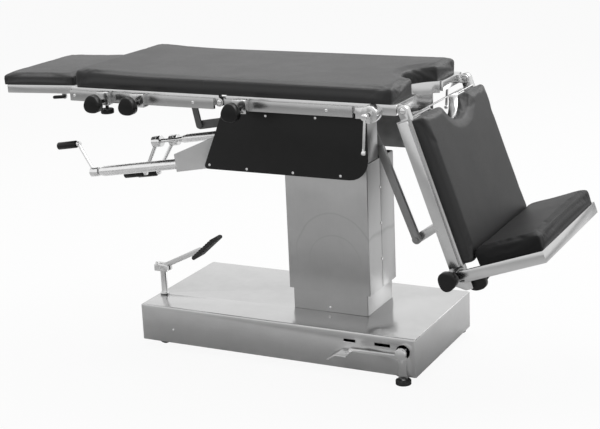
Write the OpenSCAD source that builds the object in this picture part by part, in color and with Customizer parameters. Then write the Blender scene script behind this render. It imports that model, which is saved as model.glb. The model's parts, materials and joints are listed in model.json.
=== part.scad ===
// Manual operating table: wheeled base, hydraulic column, tilting seat frame and folding sections.
// X runs from the head end to the leg end, the near side is -Y and Z is up.
// The origin is on the floor, under the middle of the whole table.

/* [Table top] */
// Height above the floor of the plane that the pads lie on
deck_z = 827; // [800:1:860]
// Width of the leather pads
pad_w = 500; // [480:2:520]
// Length of the seat frame between its two hinges
seat_l = 572; // [560:1:600]
// Length of the back section between its two hinges
back_l = 534; // [520:1:560]
// Length of the leg section between its two hinges
leg_l = 480; // [470:1:510]
// Reach of the foot section beyond its hinge
foot_l = 257; // [240:1:290]
// Reach of the head section beyond its hinge
head_l = 294; // [280:1:320]
// Width of the head pad
head_w = 382; // [360:2:400]
// Distance from the back hinge to the column's centre
back_reach = 255; // [250:1:262]

/* [Rest pose] */
// Angle of the leg section below the horizontal
leg_down = 70; // [66:1:74]
// Angle of the folded foot section above the horizontal
foot_up = 19.5; // [17:0.5:20]
// Droop of the head section
head_droop = 2; // [0:0.5:4]

/* [Pads] */
// Thickness of the back and seat pads
main_pad_t = 46; // [40:1:60]
// Thickness of the leg pad
leg_pad_t = 35; // [30:1:38]
// Thickness of the foot pad
foot_pad_t = 48; // [40:1:56]
// Thickness of the head pad
head_pad_t = 34; // [28:1:40]
// Radius of the pads' sewn top edges
pad_edge_r = 9; // [6:1:12]
// Rise of a pad's middle above its edges
pad_crown = 3; // [1:0.5:5]
// How far a pad's underside is drawn in
pad_draw = 3; // [1:0.5:5]
// Radius of the seat's U-shaped cut-out
cutout_r = 112; // [106:1:118]
// Depth of the seat's cut-out
cutout_depth = 63; // [55:1:66]
// Radius of the leg section's cut-out
leg_cutout_r = 130; // [122:1:138]
// Depth of the leg section's cut-out
leg_cutout_depth = 58; // [50:1:62]

/* [Frames and rails] */
// Width of the frames' side tubes
tube_w = 20; // [18:1:24]
// Height of the frames' side tubes
tube_h = 30; // [28:1:32]
// How far the side tubes stand out beyond the pads
frame_over = 6; // [4:1:10]
// Thickness of the accessory rails
rail_t = 10; // [8:1:12]
// Height of the accessory rails
rail_h = 32; // [28:1:34]
// Depth of the rails' top edge below the pads
rail_drop = 8; // [7:1:10]
// Depth of the back hinge below the pads
back_hinge_drop = 21; // [19:1:22]
// Depth of the leg hinge below the pads
leg_hinge_drop = 16; // [15:1:18]
// Depth of the head hinge below the pads
head_hinge_drop = 24; // [22:1:26]
// Radius of the section hinges' pins
hinge_pin_r = 7; // [5:0.5:8]

/* [Column] */
// Length of the inner column
inner_l = 248; // [240:1:252]
// Width of the inner column
inner_w = 188; // [180:1:190]
// Height of the inner column above the base
inner_h = 391; // [370:1:400]
// Length of the outer sleeve
sleeve_l = 270; // [264:1:280]
// Width of the outer sleeve
sleeve_w = 198; // [197:1:206]
// Height of the outer sleeve
sleeve_h = 404; // [390:1:410]
// Height of the sleeve's lower edge above the base
sleeve_gap = 66; // [62:1:80]
// Thickness of the steel sheet
sheet_t = 2; // [1.5:0.5:3]
// Radius of the hydraulic ram
ram_r = 22.5; // [18:0.5:26]
// Height of the long tilt axis above the sleeve
tilt_rise = 41; // [39:1:46]
// Height of the side tilt axis above the long tilt axis
roll_rise = 70; // [67:1:76]
// Radius of the two tilt shafts
tilt_shaft_r = 14; // [11:0.5:16]

/* [Side covers] */
// Distance from the middle plane to a side cover's outer face
cover_y = 211; // [208:1:214]
// Thickness of a side cover
cover_t = 3; // [2:0.5:4]
// Height of a side cover
cover_h = 194; // [180:1:198]

/* [Base] */
// Length of the base cover
base_l = 928; // [900:2:950]
// Width of the base cover
base_w = 456; // [440:2:470]
// Height of the base cover
base_h = 117; // [112:1:124]
// Thickness of the base cover's sheet
base_t = 3; // [2:0.5:4]
// Height of the base cover's lower edge above the floor
floor_gap = 22; // [20:1:32]
// Distance from the base's middle to the column's centre
base_shift = 134; // [120:1:140]
// Radius of the castor wheels
wheel_r = 25; // [22:1:26]
// Width of the castor wheels
wheel_w = 20; // [16:1:22]
// Trail of the swivel castors
castor_trail = 12; // [8:1:13]
// Radius of the levelling feet
foot_disc_r = 23; // [18:1:25]

/* [Cranks] */
// Upward slope of the crank shafts towards the column
crank_rise = 9; // [7:0.5:11]
// Radius of a crank's handle circle
crank_r = 99; // [85:1:102]
// Outward offset of a crank's handle
crank_out = 75; // [65:1:80]
// Length of a crank's grip
grip_l = 73; // [60:1:80]
// Radius of a crank's grip
grip_r = 12; // [10:0.5:13]
// Radius of the long tilt crank's tube
tube_1_r = 16; // [14:1:18]

/* [Fits] */
// Radial clearance of a running fit
run_fit = 0.05; // [0.02:0.01:0.08]
// Gap between parts that move past each other
slip_gap = 0.5; // [0.4:0.1:0.8]
// Gap between neighbouring pads
pad_gap = 0.3; // [0.2:0.1:0.5]

/* [Hidden] */
$fn = 48;
arc_steps = 6;
overrun = 1;
bend_r = 4;

// Sections and hinges
tube_z = deck_z - tube_h;
tube_mid = deck_z - tube_h / 2;
frame_y = pad_w / 2 + frame_over;
rail_y = frame_y + rail_t;
tube_y = frame_y - tube_w;
rail_z = deck_z - rail_drop - rail_h;
boss_r = 13;
ear_t = 7.5;
ear_l = 80;
hinge_gap = 2;
cross_w = 20;

// The foot hinge, along and across the leg section
foot_hinge_s = leg_l;
foot_hinge_t = -8;
leg_run = leg_l * cos(leg_down) + foot_hinge_t * sin(leg_down);

// The column stands off the origin, which lies under the middle of the whole table
head_reach = back_reach + back_l + head_l;
foot_reach = seat_l - back_reach + leg_run + foot_l * cos(foot_up);
col_x = (head_reach - foot_reach) / 2;
back_x = col_x - back_reach;
leg_x = back_x + seat_l;
head_x = back_x - back_l;
back_z = deck_z - back_hinge_drop;
leg_z = deck_z - leg_hinge_drop;
head_z = deck_z - head_hinge_drop;

// Base
base_x = col_x - base_shift;
base_lo = base_x - base_l / 2;
base_hi = base_x + base_l / 2;
base_top = floor_gap + base_h;
base_y = base_w / 2;
base_corner_r = 5;
base_edge_r = 6;
wheel_gap = 4;
fork_t = 4;
chassis_t = 8;
chassis_z = 2 * wheel_r + wheel_gap + fork_t + slip_gap;
castor_inset = 67;
castor_reach = norm([castor_trail + wheel_r, wheel_w / 2]) + hinge_gap;
castor_x = base_lo + castor_inset;
castor_y = base_y - base_t - castor_reach;
fixed_x = base_hi - castor_inset;
fixed_lift = 2;
stem_r = 8;
axle_r = 5;
post_inset = 19;
post_y = -113;
post_x = base_lo + post_inset;
post_r = 10;

// Column
sleeve_z = base_top + sleeve_gap;
sleeve_top = sleeve_z + sleeve_h;
head_plate_t = 12;
head_plate_z = sleeve_top - 2 * head_plate_t;
tilt_z = sleeve_top + tilt_rise;
roll_z = tilt_z + roll_rise;

// Seat frame
seat_lo = back_x + back_hinge_drop + hinge_gap;
seat_hi = leg_x - leg_hinge_drop - hinge_gap;
front_cross_x = back_x + 54;
lug_x = 87;
lug_t = 15;
strut_pivot = [leg_x - 172, deck_z - 59];
strut_cross_x = strut_pivot.x;
strut_y = -110;
seat_pad_hi = leg_x - 33;
fold_half = 55;
cut_x = seat_pad_hi - cutout_depth + cutout_r;
cut_rim_t = 3;
seat_rail_hi = seat_hi - 127;

// Back section
back_pad_lo = head_x + 27;
back_frame_lo = head_x + 18;
rocker_pivot = [back_x + 14, deck_z - 87];
link_top = [back_x - 121, deck_z - 42];
link_low = link_top + rocker_pivot - [back_x, back_z];
rocker_y = 186.5;
rocker_t = 6;
link_y = rocker_y + rocker_t + 1;
link_pin_r = 5;
rocker_shaft_r = 9;

// Leg section, along and across it
leg_rail_lo = 28;
leg_rail_hi = leg_l - 26;
leg_pad_lo = 29;
leg_pad_hi = leg_l - 24;
leg_cut_s = leg_pad_lo + leg_cutout_depth - leg_cutout_r;
leg_cross_s = leg_l - 158;
elbow_s = leg_l - 105;
elbow_t = -162;

// Foot section, along and across it
foot_bar_inset = 5;
foot_bar_y = pad_w / 2 - foot_bar_inset;
foot_bar_t = 12;
foot_low = -22;
foot_cross_low = -boss_r;
foot_high = 12;
foot_pad_lo = leg_hinge_drop + leg_pad_t - foot_hinge_t + 3 * slip_gap;
lock_drop = 20;
angle_knob = [34, -33];

// Head section, along and across it
head_bar_w = 12;
head_bar_y = head_w / 2 - head_bar_w;
head_low = -11;
head_high = 15;
head_pad_hi = -22;
lever_pivot = [-60, -20];

// Clamps and knobs
clamp_t = 19;
clamp_lip = 4;
knob_r = 27;
knob_t = 26;
knob_out = 36;
knob_drop = 8;
spindle_r = 5;
lobe_share = 0.07;
clamp_xs = [back_x - 386, back_x - 264, back_x + 81];
clamp_ws = [39, 46, 44];
round_x = leg_x - 85;
round_r = 25;
round_t = 34;

// Cranks: hub places from the column's centre, and each arm's angle at rest
crank_backs = [775, 619, 624];
crank_ys = [-165, -35, 74];
crank_drops = [290, 210, 230];
crank_turns = [118, -96, -82];
crank_tube_rs = [tube_1_r, 13, 13];
crank_tube_starts = [22, 99, 24];
crank_shaft_r = 6;
hub_r = 14;
crank_plate_x = front_cross_x - 3;

steel = [0.72, 0.73, 0.74];
light_paint = [0.74, 0.75, 0.75];
dark_metal = [0.32, 0.33, 0.34];
black = [0.06, 0.06, 0.065];

// Points of a corner between a and b at p, rounded to radius r
function corner_arc(a, p, b, r) =
    r <= 0 ? [p] :
    let (
        u = (a - p) / norm(a - p),
        v = (b - p) / norm(b - p),
        half = acos(u * v) / 2,
        centre = p + (u + v) / norm(u + v) * r / sin(half),
        first = p + u * r / tan(half) - centre,
        last = p + v * r / tan(half) - centre,
        start = atan2(first.y, first.x),
        turn = atan2(first.x * last.y - first.y * last.x, first * last)
    )
    [for (i = [0:arc_steps])
        centre + r * [cos(start + turn * i / arc_steps), sin(start + turn * i / arc_steps)]];

// Outline with each corner rounded to its own radius
function rounded(points, radii) =
    let (n = len(points))
    [for (i = [0:n - 1])
        each corner_arc(points[(i + n - 1) % n], points[i], points[(i + 1) % n], radii[i])];

// Outline of a rectangle with equal round corners
function round_rect(x0, y0, x1, y1, r) =
    rounded([[x0, y0], [x1, y0], [x1, y1], [x0, y1]], [r, r, r, r]);

// Outline of a flat bar with round ends at p and q
function round_bar(p, q, r) =
    let (a = atan2(q.y - p.y, q.x - p.x), steps = 2 * arc_steps)
    concat(
        [for (i = [0:steps]) p + r * [cos(a + 90 + 180 * i / steps), sin(a + 90 + 180 * i / steps)]],
        [for (i = [0:steps]) q + r * [cos(a - 90 + 180 * i / steps), sin(a - 90 + 180 * i / steps)]]
    );

// Outline of a three-lobed knob about a centre
function lobed(centre, r) =
    [for (a = [0:10:350]) centre + r * (1 + lobe_share * cos(3 * a + 90)) * [cos(a), sin(a)]];

module block(lo, hi) {
    translate(lo) cube(hi - lo);
}

module both_sides() {
    children();
    mirror([0, 1, 0]) children();
}

// Flat outline in X and Z, from y0 to y1
module plate_y(points, y0, y1) {
    translate([0, y1, 0]) rotate([90, 0, 0]) linear_extrude(y1 - y0) polygon(points);
}

// Flat outline in Y and Z, from x0 to x1
module plate_x(points, x0, x1) {
    translate([x0, 0, 0]) rotate([90, 0, 90]) linear_extrude(x1 - x0) polygon(points);
}

module pin_x(y, z, r, x0, x1) {
    translate([x0, y, z]) rotate([0, 90, 0]) cylinder(r = r, h = x1 - x0);
}

module pin_y(x, z, r, y0, y1) {
    translate([x, y1, z]) rotate([90, 0, 0]) cylinder(r = r, h = y1 - y0);
}

module pin_z(x, y, r, z0, z1) {
    translate([x, y, z0]) cylinder(r = r, h = z1 - z0);
}

// Round bar between two points in space
module rod(p, q, r) {
    v = q - p;
    translate(p) rotate([0, acos(v.z / norm(v)), atan2(v.y, v.x)]) cylinder(r = r, h = norm(v));
}

// Box with round upright corners and a round top edge
module capped_box(x0, x1, half_w, z0, z1, corner_r, edge_r) {
    intersection() {
        translate([0, 0, z0])
            linear_extrude(z1 - z0) polygon(round_rect(x0, -half_w, x1, half_w, corner_r));
        plate_y(rounded([[x0, z0], [x1, z0], [x1, z1], [x0, z1]], [0, 0, edge_r, edge_r]),
            -half_w, half_w);
        plate_x(rounded([[-half_w, z0], [half_w, z0], [half_w, z1], [-half_w, z1]],
            [0, 0, edge_r, edge_r]), x0, x1);
    }
}

// Upright rectangular tube of folded sheet about the column's centre
module sheet_tube(l, w, z0, z1) {
    translate([col_x, 0, z0]) linear_extrude(z1 - z0) difference() {
        polygon(round_rect(-l / 2, -w / 2, l / 2, w / 2, bend_r));
        polygon(round_rect(-l / 2 + sheet_t, -w / 2 + sheet_t, l / 2 - sheet_t, w / 2 - sheet_t,
            bend_r - sheet_t));
    }
}

// How far a rounded edge of radius r falls at distance d from the side
function edge_drop(d, r) = d >= r ? 0 : r - sqrt(max(0, r * r - (r - d) * (r - d)));

pad_edge_shares = [0, 0.12, 0.45, 1];
pad_mid_shares = [0.2, 0.4, 0.6, 0.8];
mouth_shares = [1, 0.92, 0.7, 0.4];
plain_shares = [0.7, 0.35];

// Upholstered pad from x = 0 to l, lying on z = 0, with an optional cut-out at its far end.
// soft_lo and soft_hi say which ends have a rounded edge.
module pad_form(l, w, t, cut_r, cut_depth, soft_lo, soft_hi) {
    half_w = w / 2;
    rim = cut_r - cut_depth;
    mouth = cut_depth > 0 ? sqrt(cut_r * cut_r - rim * rim) : half_w - pad_edge_r;
    inner_ys = cut_depth > 0
        ? concat([(half_w - pad_edge_r + mouth) / 2], mouth * mouth_shares)
        : mouth * plain_shares;
    half_ys = concat([for (s = pad_edge_shares) half_w - s * pad_edge_r], inner_ys);
    last = len(half_ys) - 1;
    ys = concat(-half_ys, [0], [for (i = [last:-1:0]) half_ys[i]]);
    stations = concat(
        soft_lo ? [for (s = pad_edge_shares) [0, s * pad_edge_r]] : [[0, 0]],
        [for (s = pad_mid_shares) [s, 0]],
        soft_hi ? [for (i = [3:-1:0]) [1, -pad_edge_shares[i] * pad_edge_r]] : [[1, 0]]
    );
    rows = len(stations);
    cols = len(ys);

    function end_x(y) = abs(y) < mouth && cut_depth > 0 ? l - sqrt(cut_r * cut_r - y * y) + rim : l;
    function end_gap(x, y) = min(soft_lo ? x : pad_edge_r, soft_hi ? end_x(y) - x : pad_edge_r);
    function top_z(x, y) =
        let (
            a = max(0, pad_edge_r - end_gap(x, y)),
            b = max(0, pad_edge_r - (half_w - abs(y))),
            d = pad_edge_r - min(pad_edge_r, norm([a, b]))
        )
        t - pad_crown * (y / half_w) * (y / half_w) - edge_drop(d, pad_edge_r);
    function plan_y(x, y) = y * (half_w - edge_drop(end_gap(x, y), pad_edge_r)) / half_w;
    function low_x(x, y) =
        (soft_lo ? pad_draw : 0)
        + x / end_x(y) * (end_x(y) - (soft_lo ? pad_draw : 0) - (soft_hi ? pad_draw : 0));
    function low_y(x, y) = plan_y(x, y) * (half_w - pad_draw) / half_w;

    top = [for (s = stations, y = ys)
        let (x = s[0] * end_x(y) + s[1]) [x, plan_y(x, y), top_z(x, y)]];
    low = [for (s = stations, y = ys)
        let (x = s[0] * end_x(y) + s[1]) [low_x(x, y), low_y(x, y), 0]];
    n = rows * cols;
    skin = [for (i = [0:rows - 2], j = [0:cols - 2])
        let (a = i * cols + j, b = a + 1, d = a + cols, c = d + 1)
        each [[a, b, c], [a, c, d], [n + a, n + c, n + b], [n + a, n + d, n + c]]];
    sides = [for (i = [0:rows - 2])
        let (a = i * cols, d = a + cols, b = a + cols - 1, c = d + cols - 1)
        each [[a, d, n + d], [a, n + d, n + a], [c, b, n + b], [c, n + b, n + c]]];
    ends = [for (j = [0:cols - 2])
        let (a = j, b = j + 1, c = n - cols + j, d = c + 1)
        each [[b, a, n + a], [b, n + a, n + b], [c, d, n + d], [c, n + d, n + c]]];
    polyhedron(concat(top, low), concat(skin, sides, ends));
}

// Frames of reference
module at_leg() {
    translate([leg_x, 0, leg_z]) rotate([0, leg_down, 0]) children();
}

module at_foot() {
    at_leg() translate([foot_hinge_s, 0, foot_hinge_t])
        rotate([0, -leg_down - foot_up, 0]) children();
}

module at_head() {
    translate([head_x, 0, head_z]) rotate([0, -head_droop, 0]) children();
}

module at_crank(i) {
    translate([col_x - crank_backs[i], crank_ys[i], deck_z - crank_drops[i]])
        rotate([0, -crank_rise, 0]) rotate([0, 0, 180]) children();
}

// Base
brake_x = base_hi - 40;
brake_z = base_top - 42;
brake_hole_r = 21;
slot_h = 9;
slot_lo = brake_x - 89;
slot_hi = brake_x - 40;
slot_2_lo = brake_x - 188;
slot_2_hi = brake_x - 150;

module base_cover() {
    inner_y = base_y - base_t;
    color(steel) difference() {
        capped_box(base_lo, base_hi, base_y, floor_gap, base_top, base_corner_r, base_edge_r);
        translate([0, 0, -overrun])
            capped_box(base_lo + base_t, base_hi - base_t, inner_y, floor_gap,
                base_top - base_t + overrun, base_corner_r - base_t, base_edge_r - base_t);
        block([col_x - inner_l / 2 + base_corner_r, -inner_w / 2 + base_corner_r, base_top - base_edge_r],
            [col_x + inner_l / 2 - base_corner_r, inner_w / 2 - base_corner_r, base_top + overrun]);
        pin_z(post_x, post_y, post_r + slip_gap / 2, base_top - base_edge_r, base_top + overrun);
        pin_y(brake_x, brake_z, brake_hole_r, -base_y - overrun, -inner_y + overrun);
        block([slot_lo, -base_y - overrun, brake_z + slot_h],
            [slot_hi, -inner_y + overrun, brake_z + 2 * slot_h]);
        block([slot_2_lo, -base_y - overrun, brake_z + slot_h],
            [slot_2_hi, -inner_y + overrun, brake_z + 2 * slot_h]);
    }
}

pedestal_t = 6;
cheek_gap = 1;

module base_chassis() {
    inner_y = base_y - base_t;
    cheek_in = wheel_w / 2 + cheek_gap;
    cheek_out = cheek_in + fork_t;
    color(dark_metal) {
        difference() {
            union() {
                translate([0, 0, chassis_z]) linear_extrude(chassis_t)
                    polygon(round_rect(base_lo + base_t, -inner_y, base_hi - base_t, inner_y,
                        base_corner_r));
                difference() {
                    block([col_x - inner_l / 2, -inner_w / 2, chassis_z],
                        [col_x + inner_l / 2, inner_w / 2, base_top - base_t]);
                    block([col_x - inner_l / 2 + pedestal_t, -inner_w / 2 + pedestal_t, chassis_z],
                        [col_x + inner_l / 2 - pedestal_t, inner_w / 2 - pedestal_t, base_top]);
                }
            }
            for (side = [-1, 1])
                pin_z(castor_x, side * castor_y, stem_r + run_fit, chassis_z - overrun,
                    chassis_z + chassis_t + overrun);
        }
        for (side = [-1, 1]) {
            for (cheek = [-1, 1])
                plate_y(round_bar([fixed_x, wheel_r + fixed_lift], [fixed_x, chassis_z + chassis_t / 2],
                    2 * axle_r),
                    side * castor_y + cheek * (cheek_in + cheek_out) / 2 - fork_t / 2,
                    side * castor_y + cheek * (cheek_in + cheek_out) / 2 + fork_t / 2);
            pin_y(fixed_x, wheel_r + fixed_lift, axle_r, side * castor_y - cheek_out,
                side * castor_y + cheek_out);
        }
    }
}

module inner_column() {
    color(steel) sheet_tube(inner_l, inner_w, base_top, base_top + inner_h);
}

cylinder_r = 38;
cylinder_bore_r = 30;
cylinder_h = 374;
gland_h = 15;
pump_l = 62;
pump_w = 70;
pump_h = 84;

module hydraulic_unit() {
    z0 = chassis_z + chassis_t;
    color(dark_metal) difference() {
        union() {
            pin_z(col_x, 0, cylinder_r, z0, z0 + cylinder_h);
            block([col_x - cylinder_r - pump_l, -pump_w / 2, z0],
                [col_x - cylinder_r / 2, pump_w / 2, z0 + pump_h]);
        }
        pin_z(col_x, 0, cylinder_bore_r, z0 + gland_h, z0 + cylinder_h - gland_h);
        pin_z(col_x, 0, ram_r + run_fit, z0 + cylinder_h / 2, z0 + cylinder_h + overrun);
    }
}

post_h = 78;
post_flange_t = 4;
clevis_l = 48;
clevis_w = 32;
clevis_h = 21;
lever_t = 8;
pedal_pin_r = 4;
pedal_pivot = [post_x - 2, base_top + post_h + 12];
clevis_slot_w = lever_t + 2 * slip_gap;

module pump_post() {
    z1 = base_top + post_h;
    color(steel) {
        pin_z(post_x, post_y, post_r, chassis_z + chassis_t, z1);
        pin_z(post_x, post_y, post_r + bend_r, base_top, base_top + post_flange_t);
        difference() {
            block([post_x - clevis_l / 2, post_y - clevis_w / 2, z1],
                [post_x + clevis_l / 2, post_y + clevis_w / 2, z1 + clevis_h]);
            block([post_x - clevis_l / 3, post_y - clevis_slot_w / 2, z1 + sheet_t],
                [post_x + clevis_l, post_y + clevis_slot_w / 2, z1 + clevis_h + overrun]);
            pin_y(pedal_pivot.x, pedal_pivot.y, pedal_pin_r + run_fit, post_y - clevis_w,
                post_y + clevis_w);
        }
        pin_z(post_x - clevis_l / 3, post_y - clevis_w / 3, post_flange_t, z1, z1 + clevis_h + clevis_w / 4);
    }
}

pedal_eye_r = 8;
pedal_bend = [post_x + 14, base_top + 97];
pedal_end = [post_x + 141, base_top + 159];
pedal_pad = [[post_x + 134, base_top + 140], [post_x + 200, base_top + 199]];
pedal_pad_w = 65;
pedal_pad_t = 12;

module pump_pedal() {
    color(steel) {
        plate_y(round_bar(pedal_pivot, pedal_bend, pedal_eye_r), post_y - lever_t / 2, post_y + lever_t / 2);
        plate_y(round_bar(pedal_bend, pedal_end, pedal_eye_r), post_y - lever_t / 2, post_y + lever_t / 2);
        pin_y(pedal_pivot.x, pedal_pivot.y, pedal_pin_r, post_y - clevis_w / 2 - hinge_gap,
            post_y + clevis_w / 2 + hinge_gap);
    }
    color(black)
        plate_y(round_bar(pedal_pad[0], pedal_pad[1], pedal_pad_t / 2), post_y - pedal_pad_w / 2,
            post_y + pedal_pad_w / 2);
}

strap_w = 26;
strap_t = 6;
foot_disc_h = 12;
foot_stem_r = 6;

module levelling_feet() {
    color(black) both_sides() pin_z(brake_x, -base_y, foot_disc_r, 0, foot_disc_h);
    color(steel) both_sides() {
        pin_z(brake_x, -base_y, foot_stem_r, foot_disc_h, floor_gap - strap_t);
        difference() {
            block([brake_x - strap_w / 2, -base_y - strap_t, floor_gap - strap_t],
                [brake_x + strap_w / 2, -base_y, brake_z + strap_w / 2]);
            pin_y(brake_x, brake_z, stem_r + run_fit, -base_y - strap_t - overrun, -base_y + overrun);
        }
        block([brake_x - strap_w / 2, -base_y, floor_gap - strap_t],
            [brake_x + strap_w / 2, -base_y + strap_w / 2, floor_gap]);
    }
}

brake_boss_r = 17;
brake_boss_t = 16;
brake_bar_l = 165;
brake_bar_h = 9;
brake_tread_l = 50;

module brake_pedal() {
    y0 = -base_y - strap_t - slip_gap;
    bar_y = y0 - brake_bar_h;
    color(steel) {
        pin_y(brake_x, brake_z, brake_boss_r, y0 - brake_boss_t, y0);
        pin_y(brake_x, brake_z, stem_r, y0, -base_y + base_t);
        block([brake_x - brake_bar_l, bar_y, brake_z - brake_boss_r + sheet_t],
            [brake_x, y0, brake_z - brake_boss_r + sheet_t + brake_bar_h]);
        plate_y(rounded([
            [brake_x - brake_bar_l - brake_tread_l, brake_z - 2 * brake_boss_r],
            [brake_x - brake_bar_l - brake_tread_l / 2, brake_z - brake_boss_r],
            [brake_x - brake_bar_l + brake_bar_h, brake_z - brake_boss_r],
            [brake_x - brake_bar_l + brake_bar_h, brake_z - brake_boss_r + bend_r],
            [brake_x - brake_bar_l - brake_tread_l / 2, brake_z - brake_boss_r + bend_r],
            [brake_x - brake_bar_l - brake_tread_l - bend_r, brake_z - 2 * brake_boss_r + bend_r]
        ], [0, bend_r, 0, 0, bend_r, 0]), y0 - brake_tread_l, y0);
    }
}

module castor_fork(side) {
    cheek_in = wheel_w / 2 + cheek_gap;
    y = side * castor_y;
    top = chassis_z - slip_gap;
    wheel_x = castor_x - castor_trail;
    color(dark_metal) {
        block([wheel_x - 2 * axle_r, y - cheek_in - fork_t, top - fork_t],
            [castor_x + 2 * axle_r, y + cheek_in + fork_t, top]);
        for (cheek = [-1, 1])
            plate_y(round_bar([wheel_x, wheel_r], [wheel_x, top - 2 * axle_r], 2 * axle_r),
                y + cheek * (cheek_in + fork_t / 2) - fork_t / 2,
                y + cheek * (cheek_in + fork_t / 2) + fork_t / 2);
        pin_y(wheel_x, wheel_r, axle_r, y - cheek_in - fork_t, y + cheek_in + fork_t);
        pin_z(castor_x, y, stem_r, top, chassis_z + chassis_t + fork_t);
        pin_z(castor_x, y, stem_r + fork_t, chassis_z + chassis_t + slip_gap, chassis_z + chassis_t + fork_t);
    }
}

module wheel(x, y, z) {
    rim_r = wheel_r - wheel_w / 5;
    color(black) translate([x, y, z]) rotate([90, 0, 0]) difference() {
        rotate_extrude() polygon([
            [0, -wheel_w / 2], [rim_r, -wheel_w / 2], [wheel_r, -wheel_w / 4],
            [wheel_r, wheel_w / 4], [rim_r, wheel_w / 2], [0, wheel_w / 2]
        ]);
        translate([0, 0, -wheel_w]) cylinder(r = axle_r + run_fit, h = 2 * wheel_w);
    }
}

// Column
module outer_column() {
    color(steel) sheet_tube(sleeve_l, sleeve_w, sleeve_z, sleeve_top);
}

ram_l = 408;

module lift_ram() {
    color(steel) pin_z(col_x, 0, ram_r, head_plate_z - ram_l, head_plate_z);
}

head_cheek_in = 60;
head_cheek_t = 15;
head_cheek_w = 45;

module column_head() {
    inset = sheet_t;
    color(dark_metal) {
        translate([col_x, 0, head_plate_z]) linear_extrude(head_plate_t)
            polygon(round_rect(-sleeve_l / 2 + inset, -sleeve_w / 2 + inset, sleeve_l / 2 - inset,
                sleeve_w / 2 - inset, bend_r - sheet_t));
        both_sides() difference() {
            plate_y(rounded([
                [col_x - head_cheek_w, head_plate_z + head_plate_t],
                [col_x + head_cheek_w, head_plate_z + head_plate_t],
                [col_x + 2 * tilt_shaft_r, tilt_z + 2 * tilt_shaft_r],
                [col_x - 2 * tilt_shaft_r, tilt_z + 2 * tilt_shaft_r]
            ], [0, 0, tilt_shaft_r, tilt_shaft_r]), -head_cheek_in - head_cheek_t, -head_cheek_in);
            pin_y(col_x, tilt_z, tilt_shaft_r + run_fit, -head_cheek_in - head_cheek_t - overrun,
                -head_cheek_in + overrun);
        }
    }
}

saddle_w = 38;
saddle_y = 45;

module tilt_saddle() {
    color(dark_metal) {
        pin_y(col_x, tilt_z, 2 * tilt_shaft_r, -head_cheek_in + slip_gap, head_cheek_in - slip_gap);
        pin_y(col_x, tilt_z, tilt_shaft_r, -head_cheek_in - head_cheek_t, head_cheek_in + head_cheek_t);
        block([col_x - saddle_w, -saddle_y, tilt_z],
            [col_x + saddle_w, saddle_y, roll_z + 2 * tilt_shaft_r - bend_r]);
        pin_x(0, roll_z, tilt_shaft_r, col_x - lug_x - lug_t / 2, col_x + lug_x + lug_t / 2);
    }
}

// Seat frame
lug_top_y = 50;
lug_low_y = 26;
crank_plate_t = 6;
crank_plate_lo = -188;
crank_plate_hi = 90;
crank_plate_z = deck_z - 231;
bearing_t = 6;
bearing_y = rocker_y - bearing_t - slip_gap;
bearing_drop = 105;
hanger_t = 4;
hanger_y = cover_y - cover_t;
hanger_h = 32;
strut_ear_t = 8;
strut_ear_y = strut_y - strut_ear_t / 2 - 7 - slip_gap;
strut_ear_w = 17;
stub_y = sqrt(cutout_r * cutout_r - (cut_x - seat_hi + cross_w / 2) * (cut_x - seat_hi + cross_w / 2));
rim_deep = 82;
rim_shallow = 35;
rim_deep_y = 90;

module seat_frame() {
    color(steel) {
        both_sides() {
            block([seat_lo, -frame_y, tube_z], [seat_hi, -tube_y, deck_z]);
            difference() {
                plate_y(round_bar([back_x, back_z], [back_x + ear_l, tube_mid], boss_r),
                    -tube_y, -tube_y + ear_t);
                pin_y(back_x, back_z, hinge_pin_r + run_fit, -tube_y - overrun, -tube_y + ear_t + overrun);
            }
            difference() {
                plate_y(round_bar([leg_x - ear_l, tube_mid], [leg_x, leg_z], boss_r),
                    -tube_y, -tube_y + ear_t);
                pin_y(leg_x, leg_z, hinge_pin_r + run_fit, -tube_y - overrun, -tube_y + ear_t + overrun);
            }
            block([seat_hi - cross_w, -tube_y, tube_z], [seat_hi, -stub_y, deck_z]);
        }
        for (x = [front_cross_x, col_x - lug_x, col_x + lug_x, strut_cross_x])
            block([x - cross_w / 2, -tube_y, tube_z], [x + cross_w / 2, tube_y, deck_z]);
        cut_rim();
    }
}

// Brackets below the seat frame's tubes: cover hangers, rocker bearings, tilt lugs, crank plate, strut ear
module seat_brackets() {
    color(steel) {
        both_sides() {
            for (x = [front_cross_x, col_x + lug_x])
                block([x - cross_w / 2, -hanger_y, tube_z - hanger_h],
                    [x + cross_w / 2, -hanger_y + hanger_t, tube_z]);
            difference() {
                block([rocker_pivot.x - 2 * rocker_shaft_r, -bearing_y, deck_z - bearing_drop],
                    [crank_plate_x - slip_gap, -bearing_y + bearing_t, tube_z]);
                pin_y(rocker_pivot.x, rocker_pivot.y, rocker_shaft_r + run_fit, -bearing_y - overrun,
                    -bearing_y + bearing_t + overrun);
            }
        }
        for (x = [col_x - lug_x, col_x + lug_x])
            difference() {
                plate_x(rounded([
                    [-lug_top_y, tube_z], [-lug_low_y, roll_z - 2 * tilt_shaft_r],
                    [lug_low_y, roll_z - 2 * tilt_shaft_r], [lug_top_y, tube_z]
                ], [0, tilt_shaft_r, tilt_shaft_r, 0]), x - lug_t / 2, x + lug_t / 2);
                pin_x(0, roll_z, tilt_shaft_r + run_fit, x - lug_t, x + lug_t);
            }
        block([crank_plate_x, crank_plate_lo, crank_plate_z],
            [crank_plate_x + crank_plate_t, crank_plate_hi, tube_z]);
        difference() {
            block([strut_pivot.x - strut_ear_w, strut_ear_y - strut_ear_t / 2, strut_pivot.y - strut_ear_w],
                [strut_pivot.x + strut_ear_w, strut_ear_y + strut_ear_t / 2, tube_z]);
            pin_y(strut_pivot.x, strut_pivot.y, spindle_r + run_fit, strut_ear_y - strut_ear_t,
                strut_ear_y + strut_ear_t);
        }
    }
}

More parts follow.
